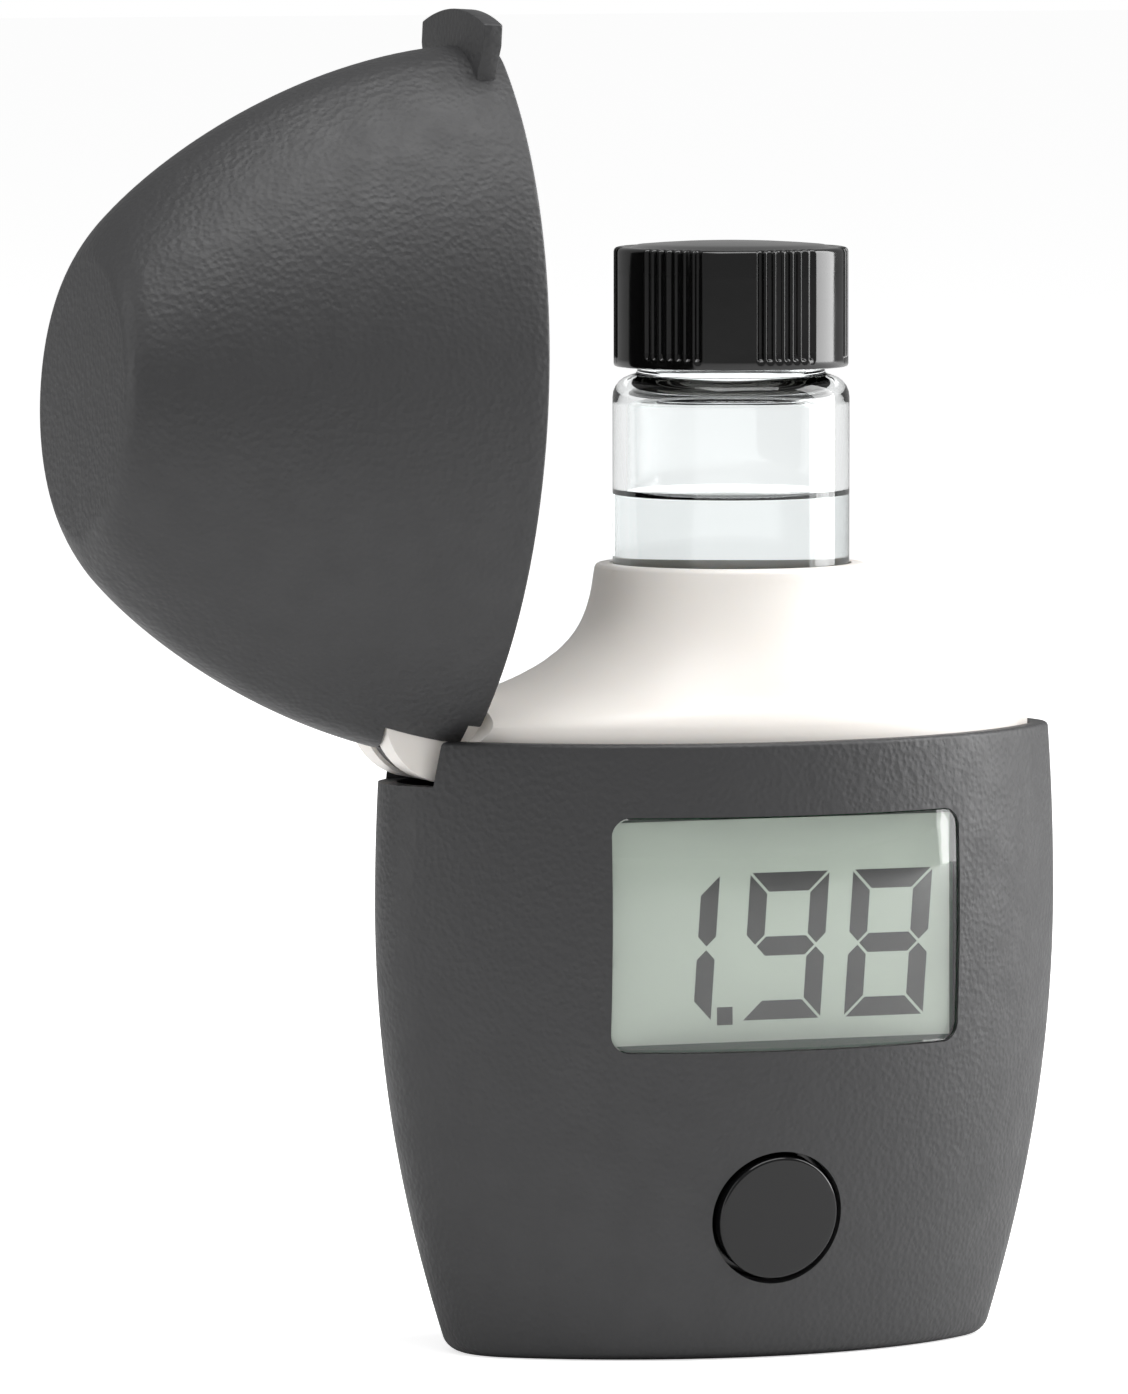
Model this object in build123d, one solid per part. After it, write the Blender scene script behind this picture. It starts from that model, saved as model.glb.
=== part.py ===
from build123d import *
from math import atan2, cos, degrees, pi, radians, sin
import os

# Pocket photometer, shown with its lid open and its sample vial standing proud.
# Millimetres. Z is up, X runs across the front, the front faces -Y.
# The origin is the centre of the underside.

# housing: a lens shaped cup that is widest a little below its rim
rim_z = 52.0
widest_z = 37.6
widest_half_width = 30.5
widest_half_depth = 18.75
rim_half_width = 29.94
rim_half_depth = 17.87
base_half_width = 24.0
base_half_depth = 13.3
tip_radius = 7.3
wall = 1.6
floor_thickness = 3.0
base_edge_radius = 1.2
ledge_width = 1.8
ledge_height = 2.0
ledge_inner_x = 14.0
ledge_outer_x = 22.0

# clearances
fit_gap = 0.02
running_gap = 0.05
part_gap = 0.1
lid_gap = 0.15
slide_gap = 0.2

# how far a cutting shape runs past the face that it cuts
overrun = 1.0

# lid: a dome whose flat top is smaller than its rim
lid_height = 34.4
lid_top_half_width = 12.6
lid_top_half_depth = 11.2
lid_top_tip_radius = 4.5
lid_lean = 0.7
lid_wall = 1.2
lid_top_wall = 1.4
lid_top_edge_radius = 1.6
open_angle = 87.0

# hinge
pivot_x = -25.9
pivot_z = 54.2
ear_radius = 5.8
ear_inner_y = 1.25
ear_thickness = 3.05
ear_inner_x = -23.6
ear_foot_x = -19.5
tongue_gap = 0.2
tongue_radius = 5.5
tongue_start_angle = 48.0
tongue_end_angle = 183.0
tongue_hub_radius = 2.2
pin_radius = 0.9
pin_fit = 0.01
notch_half_width = 5.4
notch_lean = 0.5
notch_depth = 3.8
notch_reach = 8.0
lid_relief_height = 1.2
lid_relief_half_width = 7.4
flange_cut_x = -24.5
flange_relief_radius = 2.8

# finger tab at the far end of the lid
tab_half_width = 5.0
tab_reach = 3.2
tab_drop = 1.2
tab_rise = 6.2
tab_sink = 1.6
tab_round = 0.75
tab_nose_z = 3.9
tab_chamfer = 1.1

# white chassis: collar, flange, vial well and battery sleeve in one moulding
collar_x = 1.3
collar_top_z = 66.05
collar_top_radius = 11.45
collar_edge_radius = 0.5
collar_wall = 1.6
collar_tip_share = 0.6
flange_half_width = 28.2
flange_half_depth = 16.1
flange_tip_radius = 5.6
flange_step_z = 53.2
flange_drop = 1.65
well_radius = 10.2
well_wall = 1.0
well_bottom_z = 3.2
well_floor = 2.8

# sample vial, standing proud of its seated place
vial_radius = 10.0
vial_wall = 1.2
vial_floor = 1.5
vial_bottom_z = 29.05
vial_shoulder_z = 80.0
vial_shoulder_radius = 1.9
vial_shoulder_wall = 1.3
vial_foot_radius = 0.8
neck_radius = 7.9
neck_wall = 1.5
neck_top_z = 91.4
neck_thread_radius = 8.6
neck_thread_height = 1.0
neck_thread_turns = 2
neck_thread_pitch = 3.175
neck_thread_first_z = 85.0
liquid_volume = 10000.0
liquid_gap = 0.02

# screw cap
cap_radius = 9.9
cap_bottom_z = 82.6
cap_top_z = 92.65
cap_dome = 0.55
cap_bore_radius = 8.95
cap_roof = 1.0
cap_band_height = 0.8
cap_edge_radius = 0.35
flute_depth = 0.28
flute_width = 0.52
flute_pitch_angle = 5.6
flutes_per_group = 7
flute_groups = 6

# sprung seat under the vial
seat_thickness = 2.0
seat_gap = 0.1
spring_wire_radius = 0.4
spring_coil_radius = 8.0
spring_turns = 6

# optics
beam_z = 32.0
beam_hole_radius = 1.7
lamp_dome_radius = 1.1
lamp_base = 2.3
lamp_base_thickness = 0.3
lamp_reach = 1.2
boss_radius = 4.2
boss_bore_radius = 3.2
boss_end_y = 14.9
filter_radius = 3.1
filter_start_y = 11.7
filter_thickness = 1.5
photodiode_radius = 3.0
photodiode_thickness = 1.5
detector_board_side = 10.5
detector_board_thickness = 0.8

# circuit board, standing behind the front wall
board_front_y = -12.1
board_thickness = 0.8
board_top_z = 47.0
board_shoulder_z = 24.0
board_waist_z = 17.0
board_bottom_z = 8.5
board_half_width = 16.2
board_waist_half_width = 12.6
board_foot_half_width = 3.9
post_z = 22.0
post_half_height = 2.0
post_outer_x = 14.0
post_inner_x = 9.5
post_back_y = -4.0
board_screw_x = 11.8
board_screw_radius = 0.7
board_screw_head_radius = 1.4
board_screw_head_height = 0.9
board_screw_length = 4.4
chip_side = 7.0
chip_thickness = 1.2
chip_x = -11.0
chip_z = 33.0
small_chip_x = 13.6
small_chip_z = 30.0
small_chip_width = 3.0
small_chip_height = 2.2
small_chip_thickness = 0.8
small_chip_pitch = 3.6
small_chip_count = 4

# display
window_z = 36.1
window_width = 31.5
window_height = 19.7
window_corner_radius = 1.6
window_gap = 0.12
window_thickness = 0.8
window_recess = 0.2
display_front_y = -13.55
display_width = 30.4
display_height = 18.6
pane_thickness = 0.45
pane_ledge = 1.5
pane_gap = 0.03
reflector_thickness = 0.12
contact_strip_width = 27.0
contact_strip_height = 1.1

# button
button_x = -1.2
button_z = 12.1
button_hole_radius = 5.75
button_radius = 5.3
button_proud = 0.1
button_dome = 0.15
button_skirt = 2.4
button_lip_radius = 6.2
button_lip_thickness = 0.5
button_bore_radius = 4.4
button_crown = 1.0
button_stem_radius = 1.2
switch_side = 4.5
switch_height = 0.9
switch_plunger_radius = 0.9
switch_floor = 0.05
switch_plunger_reach = 0.4
switch_plunger_length = 0.8

# battery, an upright standard cell of 10.5 by 44.5
battery_x = -16.2
battery_radius = 5.25
battery_length = 44.5
battery_nub_radius = 1.9
battery_nub_height = 0.8
battery_edge_radius = 0.3
battery_bottom_z = 4.25
sleeve_gap = 0.2
sleeve_wall = 0.75
sleeve_bottom_z = 6.0
contact_radius = 2.8
contact_thickness = 0.4
contact_boss_radius = 3.2
contact_boss_rise = 1.2
contact_coil_radius = 3.0
contact_wire_radius = 0.25
contact_turns = 3

# battery cover and the fasteners in the base
cover_radius = 6.3
cover_far_x = -9.7
cover_thickness = 1.6
cover_recess = 0.25
cover_screw_x = -6.6
cover_screw_radius = 0.9
cover_screw_head_radius = 1.8
cover_screw_head_height = 0.9
cover_screw_length = 4.2
base_screw_x = 9.0
base_screw_y = 5.0
base_screw_radius = 0.9
base_screw_head_radius = 1.8
base_screw_head_height = 1.0
base_screw_recess = 0.4
base_screw_length = 4.4
drive_slot_width = 0.5
drive_slot_depth = 0.45

# values that follow from the ones above
lid_rim_z = rim_z + lid_gap
flange_bottom_z = rim_z - flange_drop
wall_outside = 3.0
meeting = 0.001


def body_half_width(z):
    """Half the housing's width at a height."""
    if z >= widest_z:
        share = (z - widest_z) / (rim_z - widest_z)
        return widest_half_width - (widest_half_width - rim_half_width) * share**2
    share = (widest_z - z) / widest_z
    return widest_half_width - (widest_half_width - base_half_width) * share**2


def body_half_depth(z):
    """Half the housing's depth at a height."""
    if z >= widest_z:
        share = (z - widest_z) / (rim_z - widest_z)
        return widest_half_depth - (widest_half_depth - rim_half_depth) * share**2
    share = (widest_z - z) / widest_z
    return widest_half_depth - (widest_half_depth - base_half_depth) * share**2


def lid_half_width(share):
    """Half the lid's width at a share of its height."""
    curve = (1 - share**1.75) ** 0.8
    return lid_top_half_width + (rim_half_width - lid_top_half_width) * curve


def lid_half_depth(share):
    """Half the lid's depth at a share of its height."""
    curve = (1 - share**1.6) ** 0.91
    return lid_top_half_depth + (rim_half_depth - lid_top_half_depth) * curve


def lens(half_width, half_depth, tip, z, x=0.0):
    """A lens outline at height z: two long arcs joined by two round tips."""
    offset = half_width - tip
    radius = (offset**2 + half_depth**2 - tip**2) / (2 * (half_depth - tip))
    angle = atan2(offset, radius - half_depth)
    jx = radius * sin(angle)
    jy = half_depth - radius + radius * cos(angle)
    edges = [
        ThreePointArc((-jx, -jy), (0, -half_depth), (jx, -jy)),
        ThreePointArc((jx, -jy), (half_width, 0), (jx, jy)),
        ThreePointArc((jx, jy), (0, half_depth), (-jx, jy)),
        ThreePointArc((-jx, jy), (-half_width, 0), (-jx, -jy)),
    ]
    return Pos(x, 0, z) * make_face(edges)


def block(x0, x1, y0, y1, z0, z1):
    """A box between two corners."""
    size = (x1 - x0, y1 - y0, z1 - z0)
    return Pos((x0 + x1) / 2, (y0 + y1) / 2, (z0 + z1) / 2) * Box(*size)


def upright(radius, z0, z1, x=0.0, y=0.0):
    """A cylinder along Z."""
    return Pos(x, y, (z0 + z1) / 2) * Cylinder(radius, z1 - z0)


def along_y(radius, y0, y1, x, z):
    """A cylinder along Y."""
    return Pos(x, (y0 + y1) / 2, z) * Rot(90, 0, 0) * Cylinder(radius, y1 - y0)


def swung_open(shape):
    """The lid's closed place turned about the hinge pin to its open place."""
    return shape.rotate(Axis((pivot_x, 0, pivot_z), (0, -1, 0)), open_angle)


def housing_solid(z0, z1, inset):
    """The housing's outer shape, or its cavity when inset is the wall."""
    middle = min(max(widest_z, z0 + (z1 - z0) / 2), z1 - (z1 - z0) / 4)
    heights = [z0 + (middle - z0) * step / 4 for step in range(4)]
    heights += [middle + (z1 - middle) * step / 2 for step in range(3)]
    faces = []
    for z in heights:
        width = body_half_width(z) - inset
        depth = body_half_depth(z) - inset
        faces.append(lens(width, depth, tip_radius - inset, z))
    return loft(faces)


def window_block(inset, y0, y1):
    """A round cornered bar through the display window."""
    outline = RectangleRounded(
        window_width - 2 * inset, window_height - 2 * inset, window_corner_radius - inset
    )
    bar = extrude(Plane.XZ.offset(-y1) * outline, y1 - y0)
    return Pos(0, 0, window_z) * bar


def front_y(z):
    """The middle of the housing's front at a height."""
    return -body_half_depth(z)


def front_slope():
    """The lean of the front wall at the button, in degrees."""
    step = overrun / 2
    rise = body_half_depth(button_z + step) - body_half_depth(button_z - step)
    return degrees(atan2(rise, 2 * step))


def button_place():
    """The button's frame: its local Z runs into the housing."""
    lean = front_slope()
    return Pos(button_x, front_y(button_z), button_z) * Rot(-90 + lean, 0, 0)


def slot_plate(radius, x0, x1, z0, z1):
    """A plate with two round ends whose centres are at x0 and x1."""
    plate = upright(radius, z0, z1, x0) + upright(radius, z0, z1, x1)
    return plate + block(x0, x1, -radius, radius, z0, z1)


def hinge_disc(radius, y0, y1):
    """A disc about the hinge pin."""
    return along_y(radius, y0, y1, pivot_x, pivot_z)


def tongue_half_width():
    """Half the width of the lid's hinge tongue."""
    return ear_inner_y - tongue_gap


def ear_outer_y():
    """The outer face of each hinge ear."""
    return ear_inner_y + ear_thickness


def housing():
    """The one piece dark cup."""
    outer = housing_solid(0, rim_z, 0)
    bottom = outer.edges().group_by(Axis.Z)[0]
    outer = fillet(bottom, base_edge_radius)
    body = outer - housing_solid(floor_thickness, rim_z + meeting, wall)
    body -= hinge_notch()
    body -= window_block(0, -widest_half_depth - wall_outside, display_front_y + wall_outside)
    body -= button_place() * Pos(0, 0, wall) * Cylinder(button_hole_radius, 4 * wall)
    body += ledges()
    cover_roof = cover_recess + cover_thickness
    body -= slot_plate(cover_radius + part_gap, battery_x, cover_far_x, -overrun, cover_roof)
    inside = floor_thickness + overrun
    body -= upright(battery_radius + part_gap, 0, inside, battery_x)
    body -= upright(cover_screw_radius + part_gap, 0, inside, cover_screw_x)
    head_roof = base_screw_recess + base_screw_head_height
    for side in (-1, 1):
        y = side * base_screw_y
        body -= upright(base_screw_radius + part_gap, 0, inside, base_screw_x, y)
        body -= upright(base_screw_head_radius + part_gap, -overrun, head_roof, base_screw_x, y)
    return body


def hinge_notch():
    """The gap in the rim that the hinge ears stand in."""
    top = notch_half_width + notch_lean
    z = rim_z - notch_depth
    high = rim_z + overrun
    outline = Polyline(
        (-notch_half_width, z), (notch_half_width, z), (top, high), (-top, high), close=True
    )
    start = Plane.YZ.offset(-rim_half_width - wall_outside)
    return extrude(start * make_face(outline), wall_outside + notch_reach)


def ledges():
    """Four pads inside the rim that carry the chassis flange."""
    top = flange_bottom_z - part_gap
    bottom = top - ledge_height
    ring = housing_solid(bottom, top, wall / 2)
    ring -= housing_solid(bottom - overrun, top + overrun, wall + ledge_width)
    reach = widest_half_depth
    pads = []
    for side in (-1, 1):
        x0, x1 = sorted((side * ledge_inner_x, side * ledge_outer_x))
        pads.append(ring & block(x0, x1, -reach, reach, bottom, top))
    return pads[0] + pads[1]


def lid_sections(z0, wall_side, wall_top):
    """The lid's lens sections from its rim to its flat top."""
    faces = []
    top_z = lid_rim_z + lid_height
    for share in (0, 0.2, 0.4, 0.6, 0.76, 0.89, 1.0):
        z = z0 + (top_z - wall_top - z0) * share
        height_share = min((z + wall_top * share - lid_rim_z) / lid_height, 1.0)
        height_share = max(height_share, 0.0)
        width = lid_half_width(height_share) - wall_side
        depth = lid_half_depth(height_share) - wall_side
        tip = tip_radius + (lid_top_tip_radius - tip_radius) * height_share - wall_side
        faces.append(lens(width, depth, tip, z, -lid_lean * height_share**2))
    return faces


def closed_lid():
    """The lid as it stands shut on the housing."""
    outer = loft(lid_sections(lid_rim_z, 0, 0))
    top = outer.edges().group_by(Axis.Z)[-1]
    outer = fillet(top, lid_top_edge_radius) + finger_tab()
    shell = outer - loft(lid_sections(lid_rim_z - meeting, lid_wall, lid_top_wall))
    reach = lid_relief_half_width
    relief_top = lid_rim_z + lid_relief_height
    shell -= block(-2 * rim_half_width, pivot_x, -reach, reach, 0, relief_top)
    for side in (-1, 1):
        y0, y1 = sorted((side * tongue_half_width(), side * (ear_outer_y() + slide_gap)))
        shell -= hinge_disc(ear_radius + slide_gap, y0, y1)
    return shell + tongue()


def tongue():
    """The knuckle that stands between the two ears."""
    half = tongue_half_width()
    reach = 3 * tongue_radius
    points = [(pivot_x, pivot_z)]
    middle_angle = (tongue_start_angle + tongue_end_angle) / 2
    for angle in (tongue_start_angle, middle_angle, tongue_end_angle):
        points.append(
            (pivot_x + reach * cos(radians(angle)), pivot_z + reach * sin(radians(angle)))
        )
    wedge = extrude(Plane.XZ.offset(half) * make_face(Polyline(*points, close=True)), -2 * half)
    sector = hinge_disc(tongue_radius, -half, half) & wedge
    knuckle = sector + hinge_disc(tongue_hub_radius, -half, half)
    return knuckle - hinge_disc(pin_radius + running_gap, -half, half)


def finger_tab():
    """The lip that lifts the lid, at the end away from the hinge."""
    low = rim_z - tab_drop
    top = lid_rim_z + tab_rise
    inner_x = rim_half_width - tip_radius
    foot_x = rim_half_width + slide_gap
    nose_x = rim_half_width + tab_reach
    profile = [
        Line((inner_x, lid_rim_z), (inner_x, top)),
        Line((inner_x, top), (rim_half_width - tab_sink, top)),
        ThreePointArc(
            (rim_half_width - tab_sink, top),
            (nose_x - tab_round, rim_z + tab_nose_z),
            (nose_x, rim_z),
        ),
        Line((nose_x, rim_z), (nose_x - tab_chamfer, low)),
        Line((nose_x - tab_chamfer, low), (foot_x, low)),
        Line((foot_x, low), (foot_x, lid_rim_z)),
        Line((foot_x, lid_rim_z), (inner_x, lid_rim_z)),
    ]
    return extrude(Plane.XZ.offset(tab_half_width) * make_face(profile), -2 * tab_half_width)


def flare_sections(inset):
    """The collar's sections, from the lens shaped flange to the round mouth."""
    steps = (
        (0.0, 1.0, 1.0),
        (0.08, 0.90, 0.93),
        (0.16, 0.675, 0.80),
        (0.29, 0.385, 0.62),
        (0.45, 0.18, 0.40),
        (0.66, 0.06, 0.16),
        (1.0, 0.0, 0.0),
    )
    faces = []
    rise = collar_top_z - flange_step_z
    for height, width_share, depth_share in steps:
        width = collar_top_radius + (flange_half_width - collar_top_radius) * width_share - inset
        depth = collar_top_radius + (flange_half_depth - collar_top_radius) * depth_share - inset
        round_tip = collar_tip_share * (collar_top_radius - inset)
        tip = round_tip + (flange_tip_radius - inset - round_tip) * width_share
        x = collar_x * (1 - width_share)
        faces.append(lens(width, depth, tip, flange_step_z + rise * height - inset, x))
    return faces


def chassis():
    """The white moulding that holds the vial, the board, the battery and the lid."""
    flange = extrude(
        lens(flange_half_width, flange_half_depth, flange_tip_radius, flange_bottom_z),
        flange_step_z - flange_bottom_z,
    )
    body = flange + loft(flare_sections(0))
    top = body.edges().group_by(Axis.Z)[-1]
    body = fillet(top, collar_edge_radius)
    body -= loft(flare_sections(collar_wall))
    body -= extrude(
        lens(
            flange_half_width - collar_wall,
            flange_half_depth - collar_wall,
            flange_tip_radius - collar_wall,
            flange_bottom_z - overrun,
        ),
        flange_step_z - collar_wall - flange_bottom_z + overrun + fit_gap,
    )
    body -= block(-2 * rim_half_width, flange_cut_x, -reach_y(), reach_y(), 0, collar_top_z)
    body -= hinge_disc(flange_relief_radius, -reach_y(), reach_y())
    body += well_tube() + battery_sleeve() + board_posts() + detector_boss()
    boss_top = flange_step_z + contact_boss_rise
    body += upright(contact_boss_radius, contact_top_z(), boss_top, battery_x)
    body += hinge_ears()
    hub_room = pivot_x + tongue_hub_radius + slide_gap
    body -= block(-2 * rim_half_width, hub_room, -ear_inner_y, ear_inner_y, 0, collar_top_z)
    body -= upright(well_radius, well_bottom_z + well_floor, collar_top_z + overrun, collar_x)
    well_front = -well_radius - well_wall - overrun
    body -= along_y(beam_hole_radius, well_front, boss_end_y, collar_x, beam_z)
    boss_start = well_radius + well_wall
    body -= along_y(boss_bore_radius, boss_start, boss_end_y + overrun, collar_x, beam_z)
    body -= upright(battery_radius + sleeve_gap, 0, battery_can_top() + part_gap, battery_x)
    for side in (-1, 1):
        body -= along_y(
            board_screw_radius + fit_gap,
            board_back_y() - overrun,
            board_front_y + board_screw_length,
            board_screw_center(side),
            post_z,
        )
        body -= upright(
            base_screw_radius + fit_gap,
            0,
            base_screw_recess + base_screw_head_height + base_screw_length,
            base_screw_x,
            side * base_screw_y,
        )
    body -= upright(cover_screw_radius + fit_gap, 0, cover_screw_top(), cover_screw_x)
    return body


def reach_y():
    """A distance in Y that clears the whole housing."""
    return widest_half_depth + wall_outside


def contact_top_z():
    """The upper face of the battery's plus contact."""
    return battery_bottom_z + battery_length + contact_thickness + running_gap


def battery_can_top():
    """The shoulder of the battery below its plus nub."""
    return battery_bottom_z + battery_length - battery_nub_height


def well_tube():
    """The tube that the vial stands in."""
    return upright(well_radius + well_wall, well_bottom_z, collar_top_z - collar_wall, collar_x)


def battery_sleeve():
    """The sleeve round the battery and the web that ties it to the well."""
    radius = battery_radius + sleeve_gap + sleeve_wall
    sleeve = upright(radius, sleeve_bottom_z, battery_can_top(), battery_x)
    web_x0 = battery_x + battery_radius
    web_x1 = collar_x - well_radius
    web_half = 2 * sleeve_wall
    web_top = flange_step_z - collar_wall / 2
    web = block(web_x0, web_x1, -web_half, web_half, sleeve_bottom_z, web_top)
    return sleeve + web


def board_back_y():
    """The rear face of the circuit board."""
    return board_front_y + board_thickness


def board_screw_center(side):
    """Where each board screw stands across the board."""
    return side * board_screw_x


def board_posts():
    """The two arms that carry the circuit board."""
    z0, z1 = post_z - post_half_height, post_z + post_half_height
    y0 = board_back_y() + running_gap
    right = block(post_inner_x, post_outer_x, y0, post_back_y, z0, z1)
    left = block(-post_outer_x, -post_inner_x, y0, post_back_y, z0, z1)
    return right + left


def detector_boss():
    """The tube at the back of the well that holds the filter and the detector."""
    return along_y(boss_radius, well_radius, boss_end_y, collar_x, beam_z)


def hinge_ears():
    """Two ears with a foot that joins them to the flange."""
    ears = None
    for side in (-1, 1):
        y0, y1 = sorted((side * ear_inner_y, side * ear_outer_y()))
        disc = hinge_disc(ear_radius, y0, y1)
        disc_end = pivot_x - 2 * ear_radius
        disc &= block(disc_end, ear_inner_x, y0, y1, 0, pivot_z + ear_radius)
        foot_bottom = pivot_z - ear_radius + part_gap
        foot = block(pivot_x, ear_foot_x, y0, y1, foot_bottom, rim_z - lid_gap)
        ear = disc + foot
        ear += block(flange_cut_x, ear_foot_x, y0, y1, rim_z - overrun, flange_step_z - part_gap)
        ears = ear if ears is None else ears + ear
    bore = hinge_disc(pin_radius + pin_fit, -ear_outer_y(), ear_outer_y())
    return ears - bore


def hinge_pin():
    """The steel pin through ears and tongue."""
    return hinge_disc(pin_radius, -ear_outer_y(), ear_outer_y())


def vial():
    """The glass vial with its rounded shoulder and threaded neck."""
    shoulder_top = vial_shoulder_z + vial_shoulder_radius
    outer = upright(vial_radius, vial_bottom_z, shoulder_top, collar_x)
    outer = fillet(outer.edges().group_by(Axis.Z)[-1], vial_shoulder_radius)
    outer = fillet(outer.edges().group_by(Axis.Z)[0], vial_foot_radius)
    outer += upright(neck_radius, vial_shoulder_z, neck_top_z, collar_x)
    for turn in range(neck_thread_turns):
        z = neck_thread_first_z + turn * neck_thread_pitch
        outer += upright(neck_thread_radius, z, z + neck_thread_height, collar_x)
    bore_radius = vial_radius - vial_wall
    bore_top = shoulder_top - vial_shoulder_wall
    bore = upright(bore_radius, vial_bottom_z + vial_floor, bore_top, collar_x)
    bore = fillet(bore.edges().group_by(Axis.Z)[-1], vial_shoulder_radius - vial_wall / 2)
    mouth_start = vial_shoulder_z - overrun
    mouth = upright(neck_radius - neck_wall, mouth_start, neck_top_z + overrun, collar_x)
    return outer - bore - mouth


def sample_liquid():
    """Ten millilitres of clear sample."""
    radius = vial_radius - vial_wall - liquid_gap
    depth = liquid_volume / (pi * radius**2)
    start = vial_bottom_z + vial_floor + liquid_gap
    return upright(radius, start, start + depth, collar_x)


def vial_cap():
    """The black screw cap with groups of narrow flutes."""
    body = upright(cap_radius, cap_bottom_z, cap_top_z, collar_x)
    body = fillet(body.edges().group_by(Axis.Z)[-1], cap_edge_radius)
    dome_radius = (cap_radius**2 + cap_dome**2) / (2 * cap_dome)
    dome = Pos(collar_x, 0, cap_top_z + cap_dome - dome_radius) * Sphere(dome_radius)
    dome_edge = cap_radius - cap_edge_radius
    body += dome & upright(dome_edge, cap_top_z - cap_roof, cap_top_z + overrun, collar_x)
    cutter = Pos(cap_radius, 0, 0) * Box(2 * flute_depth, flute_width, cap_top_z)
    flutes = []
    for group in range(flute_groups):
        for flute in range(flutes_per_group):
            middle = (flutes_per_group - 1) / 2
            angle = group * 360 / flute_groups + (flute - middle) * flute_pitch_angle
            flutes.append(Rot(0, 0, angle) * cutter)
    low = cap_bottom_z + cap_band_height
    body -= Pos(collar_x, 0, low + cap_top_z / 2) * Compound(flutes)
    body -= upright(cap_bore_radius, cap_bottom_z - overrun, cap_top_z - cap_roof, collar_x)
    return body


def cap_liner():
    """The soft disc that seals the vial's mouth."""
    top = cap_top_z - cap_roof - running_gap / 2
    return upright(cap_bore_radius - part_gap, neck_top_z + fit_gap, top, collar_x)


def vial_seat():
    """The sliding seat that the vial stands on."""
    top = vial_bottom_z - fit_gap
    return upright(well_radius - seat_gap, top - seat_thickness, top, collar_x)


def seat_spring():
    """The coil spring under the seat."""
    start = well_bottom_z + well_floor + spring_wire_radius + fit_gap
    end = vial_bottom_z - seat_thickness - spring_wire_radius - 2 * fit_gap
    return coil(spring_coil_radius, spring_wire_radius, start, end, spring_turns, collar_x)


def coil(radius, wire, z0, z1, turns, x):
    """A round wire wound into a helix."""
    path = Helix((z1 - z0) / turns, z1 - z0, radius)
    section = Plane(origin=path @ 0, z_dir=path % 0) * Circle(wire)
    return Pos(x, 0, z0) * sweep(section, path, is_frenet=True)


def circuit_board():
    """The board with its narrow foot behind the button."""
    w, waist, foot = board_half_width, board_waist_half_width, board_foot_half_width
    outline = Polyline(
        (-w, board_top_z),
        (w, board_top_z),
        (w, board_shoulder_z),
        (waist, board_waist_z),
        (button_x + foot, board_waist_z),
        (button_x + foot, board_bottom_z),
        (button_x - foot, board_bottom_z),
        (button_x - foot, board_waist_z),
        (-waist, board_waist_z),
        (-w, board_shoulder_z),
        close=True,
    )
    board = extrude(Plane.XZ.offset(-board_back_y()) * make_face(outline), board_thickness)
    for side in (-1, 1):
        board -= along_y(
            board_screw_radius + part_gap,
            board_front_y - overrun,
            board_back_y() + overrun,
            board_screw_center(side),
            post_z,
        )
    return board


def board_screws():
    """The two small screws that hold the board to its arms."""
    screws = []
    for side in (-1, 1):
        x = board_screw_center(side)
        y_head = board_front_y - board_screw_head_height - fit_gap
        head = along_y(board_screw_head_radius, y_head, board_front_y - fit_gap, x, post_z)
        reach = 2 * board_screw_head_radius
        half = drive_slot_width / 2
        slot_end = y_head + drive_slot_depth
        head -= block(x - reach, x + reach, y_head - overrun, slot_end, post_z - half, post_z + half)
        start = y_head + board_screw_head_height / 2
        end = board_front_y + board_screw_length - slide_gap
        screws.append(head + along_y(board_screw_radius, start, end, x, post_z))
    return Compound(screws)


def microcontroller():
    """The largest chip, on the back of the board."""
    half = chip_side / 2
    y0 = board_back_y() + fit_gap
    y1 = y0 + chip_thickness
    return block(chip_x - half, chip_x + half, y0, y1, chip_z - half, chip_z + half)


def board_chips():
    """A column of small parts on the back of the board."""
    y0 = board_back_y() + fit_gap
    y1 = y0 + small_chip_thickness
    x0 = small_chip_x - small_chip_width / 2
    x1 = x0 + small_chip_width
    chips = []
    for index in range(small_chip_count):
        z0 = small_chip_z + index * small_chip_pitch
        chips.append(block(x0, x1, y0, y1, z0, z0 + small_chip_height))
    return Compound(chips)


def lamp():
    """The narrow band lamp that shines through the vial."""
    y0 = board_back_y() + fit_gap
    half = lamp_base / 2
    y1 = y0 + lamp_base_thickness
    base = block(collar_x - half, collar_x + half, y0, y1, beam_z - half, beam_z + half)
    return base + along_y(lamp_dome_radius, y0, y0 + lamp_reach, collar_x, beam_z)


def optical_filter():
    """The coloured glass disc in front of the detector."""
    end = filter_start_y + filter_thickness
    return along_y(filter_radius, filter_start_y, end, collar_x, beam_z)


def photodiode():
    """The light detector."""
    y0 = filter_start_y + filter_thickness + part_gap
    return along_y(photodiode_radius, y0, y0 + photodiode_thickness, collar_x, beam_z)


def detector_board():
    """The small board behind the detector."""
    half = detector_board_side / 2
    y0 = boss_end_y + running_gap
    y1 = y0 + detector_board_thickness
    return block(collar_x - half, collar_x + half, y0, y1, beam_z - half, beam_z + half)


def display_window():
    """The clear window, curved like the front wall."""
    z0 = window_z - window_height
    z1 = window_z + window_height / 2 + wall
    skin = housing_solid(z0, z1, window_recess)
    skin -= housing_solid(z0 - overrun, z1 + overrun, window_recess + window_thickness)
    return skin & window_block(window_gap, -reach_y(), 0)


def pane(y0, thickness, width, height):
    """A flat rectangle of the display stack."""
    z0, z1 = window_z - height / 2, window_z + height / 2
    return block(-width / 2, width / 2, y0, y0 + thickness, z0, z1)


def front_pane():
    """The display's front glass."""
    return pane(display_front_y, pane_thickness, display_width, display_height)


def rear_pane_y():
    """The front face of the rear glass."""
    return display_front_y + pane_thickness + pane_gap


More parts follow.
